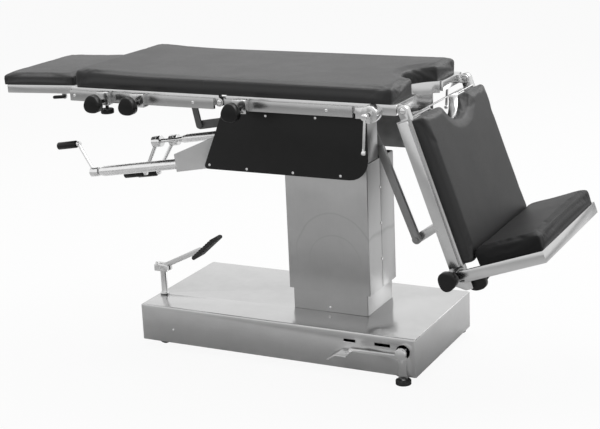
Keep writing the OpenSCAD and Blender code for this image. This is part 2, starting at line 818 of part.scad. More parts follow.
// Curved band that follows the seat's cut-out
module cut_rim() {
    intersection() {
        difference() {
            pin_z(cut_x, 0, cutout_r, deck_z - rim_deep, deck_z);
            pin_z(cut_x, 0, cutout_r - cut_rim_t, deck_z - rim_deep - overrun, deck_z + overrun);
        }
        union() {
            block([cut_x - cutout_r, -rim_deep_y, deck_z - rim_deep],
                [seat_hi - bend_r, rim_deep_y, deck_z]);
            block([cut_x - cutout_r, -cutout_r, deck_z - rim_shallow],
                [seat_hi - cross_w / 2, cutout_r, deck_z]);
        }
    }
}

module seat_rails() {
    color(steel) both_sides()
        block([seat_lo, -rail_y, rail_z], [seat_rail_hi, -frame_y, rail_z + rail_h]);
}

cover_top = rail_z - hinge_gap;
cover_hi = col_x + 190;
cover_lo = back_x - 93;
cover_lo_top = back_x - 12;
cover_big_r = 60;
cover_small_r = 10;

module side_cover() {
    color(black)
        plate_y(rounded([
            [cover_lo, cover_top - cover_h], [cover_hi, cover_top - cover_h],
            [cover_hi, cover_top], [cover_lo_top, cover_top]
        ], [cover_small_r, cover_big_r, 0, bend_r]), -cover_y, -cover_y + cover_t);
}

end_plate_w = 75;
end_plate_h = 127;
end_plate_drop = 15;
end_flange = 20;

module end_plates() {
    x1 = cover_hi - cover_t;
    z1 = cover_top - end_plate_drop;
    color(light_paint) both_sides() {
        block([x1 - cover_t, -hanger_y, z1 - end_plate_h], [x1, -hanger_y + end_plate_w, z1]);
        block([x1 - end_flange, -hanger_y, z1 - end_plate_h],
            [x1, -hanger_y + end_plate_w, z1 - end_plate_h + cover_t]);
    }
}

module seat_pad() {
    x0 = back_x + fold_half;
    color(black) translate([x0, 0, deck_z])
        pad_form(seat_pad_hi - x0, pad_w, main_pad_t, cutout_r, cutout_depth, false, true);
}

module rail_clamp(i) {
    y0 = -rail_y - clamp_t;
    hook = rail_t - overrun;
    x = clamp_xs[i];
    difference() {
        plate_x([
            [y0, rail_z - clamp_lip], [-rail_y + hook, rail_z - clamp_lip], [-rail_y + hook, rail_z],
            [-rail_y, rail_z], [-rail_y, rail_z + rail_h], [-rail_y + hook, rail_z + rail_h],
            [-rail_y + hook, rail_z + rail_h + clamp_lip], [y0, rail_z + rail_h + clamp_lip]
        ], x - clamp_ws[i] / 2, x + clamp_ws[i] / 2);
        pin_y(x, rail_z + knob_drop, spindle_r + run_fit, y0 - overrun, -rail_y - clamp_lip);
    }
}

module clamp_knob(i) {
    y1 = -rail_y - clamp_t - knob_out;
    color(black) {
        plate_y(lobed([clamp_xs[i], rail_z + knob_drop], knob_r), y1 - knob_t, y1);
        pin_y(clamp_xs[i], rail_z + knob_drop, spindle_r, y1, -rail_y - clamp_lip - slip_gap);
    }
}

round_block_x = round_x - 33;
round_block_w = 28;

module seat_clamps() {
    color(steel) {
        rail_clamp(2);
        both_sides() {
            difference() {
                pin_y(round_x, rail_z + rail_h / 2, round_r, -frame_y - round_t, -frame_y);
                pin_y(round_x, rail_z + rail_h / 2, spindle_r + run_fit, -frame_y - round_t - overrun,
                    -frame_y - rail_t);
            }
            block([round_block_x - round_block_w / 2, -frame_y - clamp_t, rail_z],
                [round_block_x + round_block_w / 2, -frame_y, rail_z + rail_h]);
        }
    }
}

lever_hub_r = 9;
lever_rod_r = 4;
lever_drop = 101;
lever_lean = 7;
ball_r = 7;

module round_clamp_lever() {
    z = rail_z + rail_h / 2;
    y1 = -frame_y - round_t - 2 * lever_hub_r;
    color(steel) {
        pin_y(round_x, z, spindle_r, y1, -frame_y - rail_t - slip_gap);
        pin_y(round_x, z, lever_hub_r, y1 - 2 * lever_hub_r, y1 + slip_gap);
        rod([round_x, y1 - lever_hub_r, z], [round_x - lever_lean, y1 - lever_hub_r, z - lever_drop],
            lever_rod_r);
        translate([round_x - lever_lean, y1 - lever_hub_r, z - lever_drop]) sphere(r = ball_r);
    }
}

// Cranks
housing_near = -188;
housing_far = -142;
housing_l = 260;
housing_lo = crank_plate_x - housing_l;

// The housing's outline, along it from its head end and below the pads
housing_upper = [[0, 206], [104, 160], [145, 143], [housing_l, 143]];
housing_lower = [[125, 240], [6, 261]];
housing_mid = [150, 194];

module crank_housing() {
    outline = concat(
        [for (p = housing_upper) [housing_lo + p.x, deck_z - p.y]],
        [[crank_plate_x, crank_plate_z]],
        [for (p = housing_lower) [housing_lo + p.x, deck_z - p.y]]
    );
    centre = [housing_lo + housing_mid.x, deck_z - housing_mid.y];
    open_top = deck_z - housing_upper[3].y - cross_w;
    inner_share = 0.96;
    inner = [for (p = outline) centre + inner_share * (p - centre)];
    open_end = [
        [crank_plate_x - cross_w, crank_plate_z + cross_w], [crank_plate_x + overrun, crank_plate_z + cross_w],
        [crank_plate_x + overrun, open_top], [crank_plate_x - cross_w, open_top]
    ];
    color(light_paint) difference() {
        plate_y(outline, housing_near, housing_far);
        plate_y(inner, housing_near + cover_t, housing_far - cover_t);
        plate_y(open_end, housing_near + cover_t, housing_far - cover_t);
        at_crank(0) pin_x(0, 0, tube_1_r + slip_gap, -crank_backs[0], 0);
    }
}

crank_collar = 18;

module crank_tubes() {
    color(light_paint) for (i = [0:2])
        difference() {
            intersection() {
                at_crank(i) {
                    pin_x(0, 0, crank_tube_rs[i], -crank_backs[i], -crank_tube_starts[i] - crank_collar);
                    translate([-crank_tube_starts[i] - crank_collar, 0, 0]) rotate([0, 90, 0])
                        cylinder(r1 = crank_tube_rs[i], r2 = crank_tube_rs[i] - 2 * sheet_t, h = crank_collar);
                }
                block([col_x - 2 * crank_backs[i], -base_y, 0], [crank_plate_x, base_y, 2 * deck_z]);
            }
            at_crank(i) pin_x(0, 0, crank_shaft_r + run_fit, -crank_tube_starts[i] - 3 * crank_collar, 0);
        }
}

grip_gap = 6;

module crank_arm(i) {
    block_r = i == 0 ? hub_r : hub_r + bend_r;
    arm_r = i == 0 ? spindle_r : crank_shaft_r;
    color(steel) at_crank(i) {
        pin_x(0, 0, block_r, -crank_collar, hub_r - 2);
        pin_x(0, 0, crank_shaft_r, -crank_tube_starts[i] - 2 * crank_collar, 0);
        rotate([crank_turns[i], 0, 0]) {
            rod([0, 0, 0], [crank_out, crank_r, 0], arm_r);
            pin_x(crank_r, 0, grip_r - bend_r, crank_out - grip_gap, crank_out + grip_gap);
            pin_x(crank_r, 0, lever_rod_r, crank_out, crank_out + grip_gap + grip_l + bend_r);
        }
    }
}

module crank_grip(i) {
    x0 = crank_out + grip_gap + slip_gap;
    color(black) at_crank(i) rotate([crank_turns[i], 0, 0]) difference() {
        pin_x(crank_r, 0, grip_r, x0, x0 + grip_l);
        pin_x(crank_r, 0, lever_rod_r + run_fit, x0 - overrun, x0 + grip_l + overrun);
    }
}

// Back drive
module back_rocker() {
    color(dark_metal) {
        both_sides()
            plate_y(round_bar(link_low, rocker_pivot, boss_r), -rocker_y - rocker_t, -rocker_y);
        pin_y(rocker_pivot.x, rocker_pivot.y, rocker_shaft_r, -rocker_y - rocker_t, rocker_y + rocker_t);
    }
}

link_w = 10;

module back_links() {
    color(dark_metal) both_sides() {
        plate_y(round_bar(link_top, link_low, link_w), -link_y - rocker_t, -link_y);
        pin_y(link_top.x, link_top.y, link_pin_r, -link_y - rocker_t - 2 * link_pin_r, -link_y);
    }
}

// Back section
module back_frame() {
    bracket_y = link_y + rocker_t + slip_gap;
    lug_y = head_w / 2 + slip_gap;
    color(steel) {
        both_sides() {
            block([back_frame_lo, -frame_y, tube_z], [back_x, -tube_y - slip_gap, deck_z]);
            pin_y(back_x, back_z, boss_r, -frame_y, -tube_y - slip_gap);
            pin_y(back_x, back_z, hinge_pin_r, -frame_y, -tube_y + ear_t + hinge_gap);
            difference() {
                plate_y(round_bar([head_x, head_z], [back_frame_lo + cross_w, tube_mid], boss_r - 2),
                    -lug_y - ear_t, -lug_y);
                pin_y(head_x, head_z, link_pin_r + run_fit, -lug_y - ear_t - overrun, -lug_y + overrun);
            }
            difference() {
                plate_y(round_bar(link_top, [link_top.x, tube_mid], link_w), -bracket_y - rocker_t,
                    -bracket_y);
                pin_y(link_top.x, link_top.y, link_pin_r + run_fit, -bracket_y - rocker_t - overrun,
                    -bracket_y + overrun);
            }
        }
        for (x = [back_frame_lo + cross_w / 2, link_top.x])
            block([x - cross_w / 2, -tube_y - slip_gap, tube_z],
                [x + cross_w / 2, tube_y + slip_gap, deck_z]);
    }
}

back_rail_hi = back_x - boss_r;

module back_rails() {
    color(steel) both_sides()
        block([back_frame_lo, -rail_y, rail_z], [back_rail_hi, -frame_y, rail_z + rail_h]);
}

module back_pad() {
    l = back_x - fold_half - back_pad_lo;
    color(black) translate([back_pad_lo, 0, deck_z])
        pad_form(l, pad_w, main_pad_t, cutout_r, 0, true, false);
}

module pad_fold() {
    color(black) translate([back_x - fold_half + pad_gap, 0, deck_z])
        pad_form(2 * (fold_half - pad_gap), pad_w, main_pad_t, cutout_r, 0, false, false);
}

module back_clamps() {
    color(steel) {
        difference() {
            rail_clamp(0);
            pin_z(clamp_xs[0] + spindle_r + 2 * run_fit + bend_r, -rail_y - clamp_t / 2, spindle_r + run_fit,
                rail_z - clamp_lip - overrun, rail_z + bend_r / 2);
        }
        rail_clamp(1);
    }
}

under_knob_r = 20;
under_knob_t = 15;
under_knob_gap = 11;

module underside_knob() {
    x = clamp_xs[0] + spindle_r + 2 * run_fit + bend_r;
    z1 = rail_z - clamp_lip - under_knob_gap;
    color(black) {
        pin_z(x, -rail_y - clamp_t / 2, under_knob_r, z1 - under_knob_t, z1);
        pin_z(x, -rail_y - clamp_t / 2, spindle_r, z1, rail_z + bend_r / 2 - slip_gap);
    }
}

// Head section
module head_frame() {
    lo = -head_l + head_bar_w + link_pin_r;
    near = -head_bar_y - head_bar_w;
    color(steel) at_head() {
        both_sides() {
            block([lo, near, head_low], [0, near + head_bar_w, head_high]);
            pin_y(0, 0, head_bar_w, near, near + head_bar_w);
            pin_y(0, 0, link_pin_r, near - slip_gap - ear_t - hinge_gap, near);
        }
        for (x = [lo, lever_pivot.x])
            block([x, -head_bar_y, head_low], [x + head_bar_w, head_bar_y, head_high]);
        difference() {
            plate_y(round_bar([lever_pivot.x, 0], lever_pivot, 2 * lever_rod_r), near, near + rocker_t);
            pin_y(lever_pivot.x, lever_pivot.y, lever_rod_r + run_fit, near - overrun,
                near + rocker_t + overrun);
        }
    }
}

module head_pad() {
    color(black) at_head() translate([-head_l, 0, head_high])
        pad_form(head_l + head_pad_hi, head_w, head_pad_t, cutout_r, 0, true, true);
}

head_lever_l = 34;
head_lever_t = 7;

module head_lever() {
    near = -head_bar_y - head_bar_w - slip_gap;
    color(black) at_head() {
        plate_y(round_bar(lever_pivot, lever_pivot - [head_lever_l, 2], spindle_r), near - head_lever_t, near);
        pin_y(lever_pivot.x, lever_pivot.y, lever_rod_r, near, near + slip_gap + rocker_t);
    }
}

// Leg strut, in its own frame: along the strut from the upper pivot
elbow = [leg_x + elbow_s * cos(leg_down) + elbow_t * sin(leg_down),
    leg_z - elbow_s * sin(leg_down) + elbow_t * cos(leg_down)];
strut_v = elbow - strut_pivot;
strut_l = norm(strut_v);
strut_angle = atan2(strut_v.y, strut_v.x);
strut_w = 23;
strut_d = 14;
strut_wall = 2;
strut_rod_l = 310;
strut_tube_lo = 104;
strut_tube_end = 18;

module at_strut() {
    translate([strut_pivot.x, strut_y, strut_pivot.y]) rotate([0, -strut_angle, 0]) children();
}

module strut_rod() {
    w = strut_w / 2 - strut_wall - slip_gap;
    d = strut_d / 2 - strut_wall - slip_gap;
    color(dark_metal) at_strut() {
        block([0, -d, -w], [strut_rod_l, d, w]);
        pin_y(0, 0, strut_w / 2 + hinge_gap, -strut_d / 2, strut_d / 2);
        pin_y(0, 0, spindle_r, -strut_d / 2 - slip_gap - strut_ear_t - hinge_gap, 0);
    }
}

module strut_tube() {
    w = strut_w / 2;
    d = strut_d / 2;
    color(dark_metal) at_strut() {
        difference() {
            union() {
                block([strut_tube_lo, -d, -w], [strut_l, d, w]);
                pin_y(strut_l, 0, w + hinge_gap, -d, d);
            }
            block([strut_tube_lo - overrun, -d + strut_wall, -w + strut_wall],
                [strut_l - strut_tube_end, d - strut_wall, w - strut_wall]);
        }
        pin_y(strut_l, 0, spindle_r + hinge_gap, -d - bend_r, -d);
    }
}

// Leg section
bracket_y = strut_y + strut_d / 2 + slip_gap;
fork_y = tube_y + slip_gap;
fork_back = 50;
fork_s = leg_l - fork_back;
fork_reach = 47;
fork_drop = 32;
lock_spindle_r = 4;

module leg_frame() {
    top = leg_hinge_drop;
    low = leg_hinge_drop - tube_h;
    rail_low = leg_hinge_drop - rail_drop - rail_h;
    ring_mouth = sqrt(leg_cutout_r * leg_cutout_r - (leg_rail_lo - leg_cut_s) * (leg_rail_lo - leg_cut_s));
    color(steel) at_leg() {
        both_sides() {
            block([0, -frame_y, low], [leg_rail_hi, -fork_y, top]);
            pin_y(0, 0, leg_hinge_drop, -frame_y, -fork_y);
            pin_y(0, 0, hinge_pin_r, -frame_y, -tube_y + ear_t + hinge_gap);
            block([leg_rail_lo - bend_r, -rail_y, rail_low], [leg_rail_lo, -frame_y, top - rail_drop]);
            block([leg_rail_lo - bend_r, -fork_y, low], [leg_rail_lo, -ring_mouth, top]);
            difference() {
                plate_y(rounded([
                    [fork_s, low], [fork_s + boss_r + bend_r, low], [fork_s + fork_drop, foot_hinge_t - fork_drop],
                    [fork_s + 75, foot_hinge_t - fork_drop], [leg_l + fork_reach, low / 2],
                    [leg_l + fork_reach, top], [fork_s, top]
                ], [0, 0, boss_r, boss_r, bend_r, bend_r, 0]), -fork_y - slip_gap - ear_t, -fork_y);
                pin_y(foot_hinge_s, foot_hinge_t, crank_shaft_r + run_fit, -frame_y, -tube_y);
                pin_y(foot_hinge_s, foot_hinge_t - lock_drop, lock_spindle_r + run_fit, -frame_y, -tube_y);
            }
        }
        block([leg_rail_lo - bend_r, -fork_y, rail_low], [leg_rail_lo, fork_y, low]);
        intersection() {
            difference() {
                pin_z(leg_cut_s, 0, leg_cutout_r, low, top);
                pin_z(leg_cut_s, 0, leg_cutout_r - cut_rim_t, low - overrun, top + overrun);
            }
            block([leg_rail_lo - bend_r, -leg_cutout_r, low], [leg_cut_s + leg_cutout_r, leg_cutout_r, top]);
        }
        for (s = [leg_cut_s + leg_cutout_r, leg_cross_s, leg_rail_hi - cross_w])
            block([s - cut_rim_t / 2, -fork_y, low], [s + cross_w, fork_y, low + tube_h / 2]);
        plate_y(round_bar([leg_cross_s + cross_w / 2, low / 2], [elbow_s, elbow_t], boss_r),
            bracket_y, bracket_y + strut_ear_t);
    }
}

module leg_rails() {
    low = leg_hinge_drop - rail_drop - rail_h;
    color(steel) at_leg() both_sides()
        block([leg_rail_lo, -rail_y, low], [leg_rail_hi, -frame_y, low + rail_h]);
}

module leg_pad() {
    color(black) at_leg() translate([leg_pad_hi, 0, leg_hinge_drop]) mirror([1, 0, 0])
        pad_form(leg_pad_hi - leg_pad_lo, pad_w, leg_pad_t, leg_cutout_r, leg_cutout_depth, true, true);
}

module foot_lock_knob() {
    y1 = -rail_y - rail_t;
    s = foot_hinge_s;
    t = foot_hinge_t - lock_drop;
    color(black) at_leg() {
        plate_y(lobed([s, t], knob_r), y1 - knob_t, y1);
        pin_y(s, t, lock_spindle_r, y1, -tube_y);
    }
}

// Foot section
quadrant_inset = 37;
quadrant_y = quadrant_inset - foot_bar_y;

module foot_frame() {
    color(steel) at_foot() {
        both_sides() {
            block([0, -foot_bar_y - foot_bar_t, -boss_r], [2 * boss_r, -foot_bar_y, foot_high]);
            block([boss_r, -foot_bar_y - foot_bar_t, foot_low], [foot_l - foot_bar_t, -foot_bar_y, foot_high]);
            pin_y(0, 0, boss_r, -foot_bar_y - foot_bar_t, -foot_bar_y);
            pin_y(0, 0, crank_shaft_r, -foot_bar_y - foot_bar_t, -tube_y);
        }
        block([foot_l - foot_bar_t, -foot_bar_y - foot_bar_t, foot_low],
            [foot_l, foot_bar_y + foot_bar_t, foot_high]);
        block([angle_knob.x + cross_w + bend_r, -foot_bar_y, foot_cross_low],
            [angle_knob.x + 2 * cross_w + bend_r, foot_bar_y, foot_high - 2 * hinge_gap]);
        difference() {
            plate_y(rounded([
                [angle_knob.x - boss_r, angle_knob.y - boss_r], [angle_knob.x + boss_r, angle_knob.y - boss_r],
                [angle_knob.x + 3 * cross_w, foot_cross_low], [angle_knob.x + cross_w, foot_cross_low],
                [angle_knob.x - boss_r, angle_knob.y + boss_r]
            ], [bend_r, bend_r, 0, 0, bend_r]), quadrant_y, quadrant_y + rocker_t);
            pin_y(angle_knob.x, angle_knob.y, lock_spindle_r + run_fit, quadrant_y - overrun,
                quadrant_y + rocker_t + overrun);
        }
    }
}

module foot_pad() {
    color(black) at_foot() translate([foot_pad_lo, 0, foot_high])
        pad_form(foot_l - foot_pad_lo, pad_w, foot_pad_t, cutout_r, 0, true, true);
}

angle_knob_t = 20;

module foot_angle_knob() {
    y1 = quadrant_y - crank_shaft_r;
    color(black) at_foot() {
        plate_y(lobed(angle_knob, knob_r), y1 - angle_knob_t, y1);
        pin_y(angle_knob.x, angle_knob.y, lock_spindle_r, y1, quadrant_y + rocker_t);
    }
}

base_cover();
base_chassis();
inner_column();
hydraulic_unit();
pump_post();
levelling_feet();
brake_pedal();
pump_pedal();
castor_fork(-1);  // castor_fork_near
castor_fork(1);  // castor_fork_far
wheel(castor_x - castor_trail, -castor_y, wheel_r);  // castor_wheel_near
wheel(castor_x - castor_trail, castor_y, wheel_r);  // castor_wheel_far
wheel(fixed_x, -castor_y, wheel_r + fixed_lift);  // fixed_wheel_near
wheel(fixed_x, castor_y, wheel_r + fixed_lift);  // fixed_wheel_far
outer_column();
lift_ram();
column_head();
tilt_saddle();
seat_frame();
seat_brackets();
seat_rails();
side_cover();  // near_side_cover
mirror([0, 1, 0]) side_cover();  // far_side_cover
end_plates();
seat_pad();
seat_clamps();
clamp_knob(2);  // seat_knob
round_clamp_lever();  // round_clamp_lever_near
mirror([0, 1, 0]) round_clamp_lever();  // round_clamp_lever_far
crank_housing();
crank_tubes();
crank_arm(0);  // crank_arm_1
crank_arm(1);  // crank_arm_2
crank_arm(2);  // crank_arm_3
crank_grip(0);  // crank_grip_1
crank_grip(1);  // crank_grip_2
crank_grip(2);  // crank_grip_3
back_rocker();
back_links();
back_frame();
back_rails();
back_pad();
pad_fold();
back_clamps();
clamp_knob(0);  // back_knob_1
clamp_knob(1);  // back_knob_2
underside_knob();
head_frame();
head_pad();
head_lever();
strut_rod();
strut_tube();
leg_frame();
leg_rails();
leg_pad();
foot_frame();
foot_pad();
foot_lock_knob();  // foot_lock_knob_near
mirror([0, 1, 0]) foot_lock_knob();  // foot_lock_knob_far
foot_angle_knob();
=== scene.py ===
import json
import math

import bpy
from mathutils import Matrix, Vector

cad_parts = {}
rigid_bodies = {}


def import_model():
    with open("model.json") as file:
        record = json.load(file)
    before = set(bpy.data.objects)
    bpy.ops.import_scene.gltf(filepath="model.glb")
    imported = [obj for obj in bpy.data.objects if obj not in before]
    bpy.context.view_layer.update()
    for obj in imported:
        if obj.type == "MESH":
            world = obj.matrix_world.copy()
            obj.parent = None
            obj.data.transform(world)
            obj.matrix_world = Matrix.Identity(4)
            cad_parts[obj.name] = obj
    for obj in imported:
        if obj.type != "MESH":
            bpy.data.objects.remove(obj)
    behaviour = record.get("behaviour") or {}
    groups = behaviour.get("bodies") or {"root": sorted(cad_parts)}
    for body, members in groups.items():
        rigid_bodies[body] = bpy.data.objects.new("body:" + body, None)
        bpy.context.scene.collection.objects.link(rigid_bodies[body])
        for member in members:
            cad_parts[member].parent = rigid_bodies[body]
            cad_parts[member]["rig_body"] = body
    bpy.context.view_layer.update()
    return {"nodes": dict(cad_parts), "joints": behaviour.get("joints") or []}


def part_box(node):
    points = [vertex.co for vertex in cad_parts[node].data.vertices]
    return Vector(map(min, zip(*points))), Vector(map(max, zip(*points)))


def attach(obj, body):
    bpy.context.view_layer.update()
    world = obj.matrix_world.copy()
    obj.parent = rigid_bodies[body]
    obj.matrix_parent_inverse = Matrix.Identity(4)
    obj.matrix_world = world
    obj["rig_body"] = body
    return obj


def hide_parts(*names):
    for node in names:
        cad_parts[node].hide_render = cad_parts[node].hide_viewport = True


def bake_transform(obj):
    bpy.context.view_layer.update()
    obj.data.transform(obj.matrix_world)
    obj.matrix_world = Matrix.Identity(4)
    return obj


# Finishes, leather pads, screws and small fittings of the operating table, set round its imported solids.
# Lengths are in metres, except in the places of screws and plates, which are in millimetres.

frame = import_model()
nodes = frame["nodes"]
body_of_node = {n: o["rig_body"] for n, o in nodes.items()}

column_x = sum(c.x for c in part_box("inner_column")) / 2


# Selecting and editing, as by hand

def deselect():
    bpy.ops.object.select_all(action="DESELECT")


def hold(piece):
    deselect()
    piece.select_set(True)
    bpy.context.view_layer.objects.active = piece
    return piece


def place(piece):
    hold(piece)
    bpy.ops.object.transform_apply(location=True, rotation=True, scale=True)
    return piece


def edit(piece):
    hold(piece)
    bpy.ops.object.mode_set(mode="EDIT")
    bpy.ops.mesh.select_all(action="DESELECT")


def leave():
    bpy.ops.object.mode_set(mode="OBJECT")


def pick_faces(piece, test):
    bpy.ops.object.mode_set(mode="OBJECT")
    for f in piece.data.polygons:
        f.select = bool(test(f))
    bpy.ops.object.mode_set(mode="EDIT")
    bpy.ops.mesh.select_mode(type="FACE")


def modify(piece, kind, **settings):
    hold(piece)
    m = piece.modifiers.new(kind.lower(), kind)
    for name, value in settings.items():
        setattr(m, name, value)
    bpy.ops.object.modifier_apply(modifier=m.name)


def smooth(piece, angle=35):
    hold(piece)
    bpy.ops.object.shade_smooth_by_angle(angle=math.radians(angle))


def bevelled(piece, width, segments=2, angle=30):
    modify(piece, "BEVEL", width=width, segments=segments, limit_method="ANGLE",
           angle_limit=math.radians(angle), use_clamp_overlap=False)


# Shader maths

class Wire:
    """A socket of a material, with arithmetic."""

    def __init__(self, paint, socket):
        self.paint, self.socket = paint, socket

    def __add__(self, other):
        return self.paint.maths("ADD", self, other)

    def __mul__(self, other):
        return self.paint.maths("MULTIPLY", self, other)

    __radd__, __rmul__ = __add__, __mul__

    def __sub__(self, other):
        return self.paint.maths("SUBTRACT", self, other)

    def __rsub__(self, other):
        return self.paint.maths("SUBTRACT", other, self)

    def __truediv__(self, other):
        return self.paint.maths("DIVIDE", self, other)

    def __gt__(self, other):
        return self.paint.maths("GREATER_THAN", self, other)

    def out(self, name):
        return Wire(self.paint, self.socket.node.outputs[name])


class Finish:
    """One material and its nodes."""

    def __init__(self, name, **surface):
        self.material = bpy.data.materials.new(name)
        self.material.use_nodes = True
        self.tree = self.material.node_tree
        self.shader = next(n for n in self.tree.nodes if n.type == "BSDF_PRINCIPLED")
        for socket, value in surface.items():
            self.shader.inputs[socket.replace("_", " ")].default_value = value

    def node(self, kind, settings=None, **sockets):
        """Adds a node; _0 is its first input, _1 its second, and a name is the input of that name."""
        made = self.tree.nodes.new("ShaderNode" + kind)
        for key, value in (settings or {}).items():
            setattr(made, key, value)
        for key, value in sockets.items():
            socket = made.inputs[int(key[1:])] if key[0] == "_" else made.inputs[key.replace("_", " ")]
            if isinstance(value, Wire):
                self.tree.links.new(value.socket, socket)
            else:
                socket.default_value = value
        return Wire(self, made.outputs[0])

    def maths(self, operation, a, b=0.0, c=0.0, clamp=False):
        return self.node("Math", {"operation": operation, "use_clamp": clamp}, _0=a, _1=b, _2=c)

    def blend(self, share, a, b):
        made = self.tree.nodes.new("ShaderNodeMix")
        made.data_type = "RGBA"
        for socket, value in ((made.inputs[0], share), (made.inputs[6], a), (made.inputs[7], b)):
            if isinstance(value, Wire):
                self.tree.links.new(value.socket, socket)
            else:
                socket.default_value = value if socket is made.inputs[0] else (*value, 1)
        return Wire(self, made.outputs[2])

    def place(self, scale=(1, 1, 1), turn=(0, 0, 0), at=(0, 0, 0)):
        here = self.node("TexCoord").out("Object")
        return self.node("Mapping", Vector=here, Location=at, Rotation=turn, Scale=scale)

    def noise(self, size, where=None, detail=3.0, stretch=(1, 1, 1), rough=0.5):
        where = where or self.place(scale=stretch)
        return self.node("TexNoise", Vector=where, Scale=1 / size, Detail=detail, Roughness=rough)

    def bump(self, height, depth, strength=1.0):
        return self.node("Bump", Height=height, Distance=depth, Strength=strength)

    def set(self, **links):
        for name, value in links.items():
            self.tree.links.new(value.socket, self.shader.inputs[name.replace("_", " ")])
        return self.material


def grey(v):
    return (v, v, v)


def brushed_sheet(name, shade, along, base_rough=0.34, swirl=None):
    """Stainless sheet with a fine grain along one axis and a cloudy gloss."""
    f = Finish(name, Metallic=1.0)
    stretch = [1, 1, 1]
    stretch["xyz".index(along)] = 0.02
    lines = f.noise(0.0016, stretch=tuple(stretch), detail=2.0)
    cloud = f.noise(0.11, detail=4.0)
    fog = f.noise(0.035, detail=5.0, rough=0.6)
    tone = cloud * 0.5 + fog * 0.3 + lines * 0.2
    rough = tone * 0.24 + (base_rough - 0.12)
    depth = lines * 0.6 + fog * 0.4
    if swirl:
        rings = swirl(f)
        tone = tone - rings * 0.35
        rough = rough + rings * 0.08
    colour = f.blend(tone, grey(shade * 0.80), grey(shade * 1.12))
    return f.set(Base_Color=colour, Roughness=rough, Normal=f.bump(depth, 0.00012, 0.35))


arc_centre_x = column_x + 0.0215
arcs = ((0.322, 0.128, 0.0040), (0.300, 0.082, 0.0032))  # height, radius and width of each
arc_waver = 0.024


def polishing_swirl(f):
    """Faint crescents that a polishing disc left on the sleeve's near face."""
    warp = f.noise(0.12, detail=1.0)
    total = None
    for z, radius, width in arcs:
        where = f.place(at=(-arc_centre_x, 0, -z), scale=(1, 0, 1))
        far = f.node("VectorMath", {"operation": "LENGTH"}, _0=where).out("Value")
        far = far + warp * arc_waver
        gap = f.maths("ABSOLUTE", far - (radius + arc_waver / 2))
        ring = f.maths("SUBTRACT", 1.0, gap / width, clamp=True)
        total = ring if total is None else f.maths("MAXIMUM", total, ring)
    side = f.node("SeparateXYZ", Vector=f.place(at=(-column_x, 0, -0.30)))
    upper = f.maths("MULTIPLY_ADD", side.out("Z"), 9.0, 0.2, clamp=True)
    return total * upper


def polished(name, shade, rough):
    """Chrome with faint smears."""
    f = Finish(name, Metallic=1.0)
    smear = f.noise(0.03, detail=4.0)
    fine = f.noise(0.0012, detail=2.0)
    return f.set(
        Base_Color=f.blend(smear, grey(shade * 0.86), grey(min(1, shade * 1.08))),
        Roughness=smear * 0.10 + fine * 0.06 + (rough - 0.07),
        Normal=f.bump(smear * 0.3 + fine * 0.7, 0.00006, 0.4),
    )


def enamel(name, shade, rough, metal=0.0):
    """Sprayed paint with a slight orange peel and dust."""
    f = Finish(name, Metallic=metal)
    peel = f.noise(0.0035, detail=2.0)
    dust = f.noise(0.05, detail=5.0)
    return f.set(
        Base_Color=f.blend(dust, grey(shade * 0.88), grey(shade * 1.08)),
        Roughness=dust * 0.14 + (rough - 0.07),
        Normal=f.bump(peel, 0.00008, 0.5),
    )


seam_height = 0.5       # on the pad_height attribute
seam_half_width = 0.014
stitch_length = 0.003


def black_leather(name, gloss=0.5):
    """Pebbled leather with wrinkles, and a sunk, stitched seam round the pad's side."""
    f = Finish(name, Specular_IOR_Level=gloss)
    grain = f.node("TexVoronoi", {"feature": "DISTANCE_TO_EDGE"},
                   Vector=f.place(), Scale=520.0, Randomness=1.0)
    creases = f.maths("MINIMUM", grain * 5.0, 1.0)
    wrinkles = f.noise(0.055, detail=4.0, rough=0.55)
    wear = f.noise(0.13, detail=3.0)
    pores = f.noise(0.0008, detail=1.0)
    high = f.node("Attribute", {"attribute_name": "pad_height"}).out("Fac")
    seam = f.maths("SUBTRACT", 1.0, f.maths("ABSOLUTE", high - seam_height) / seam_half_width, clamp=True)
    run = f.node("Attribute", {"attribute_name": "pad_run"}).out("Fac")
    stitch = f.maths("PINGPONG", run, stitch_length) / stitch_length
    thread = seam * (stitch > 0.35)
    relief = creases * 0.25 + pores * 0.15 + wrinkles * 2.2 - seam * 2.0 + thread * 1.2
    return f.set(
        # The colour is darker in the grain's creases, which is painted shade, and varies at random with
        # wear.
        Base_Color=f.blend(wear * 0.6 + creases * 0.4,
                           (0.005, 0.005, 0.0053), (0.015, 0.015, 0.0156)),
        Roughness=wear * 0.12 + wrinkles * 0.06 + (1 - creases) * 0.08 + 0.33,
        Normal=f.bump(relief, 0.0004, 0.55),
    )


def black_moulding(name, rough, shade=0.007):
    """Moulded plastic with a fine skin and dust."""
    f = Finish(name, Specular_IOR_Level=0.3)
    skin = f.noise(0.0009, detail=2.0)
    dust = f.noise(0.04, detail=4.0)
    return f.set(
        Base_Color=f.blend(dust, grey(shade * 0.6), grey(shade * 1.4)),
        Roughness=dust * 0.12 + skin * 0.06 + (rough - 0.09),
        Normal=f.bump(skin, 0.00008, 0.4),
    )


def dusty_rubber(name):
    """Matt rubber with dust and pits."""
    f = Finish(name)
    dust = f.noise(0.02, detail=5.0)
    pits = f.noise(0.0011, detail=2.0)
    return f.set(
        Base_Color=f.blend(dust, grey(0.014), grey(0.045)),
        Roughness=dust * 0.2 + 0.62,
        Normal=f.bump(pits, 0.0002, 0.5),
    )


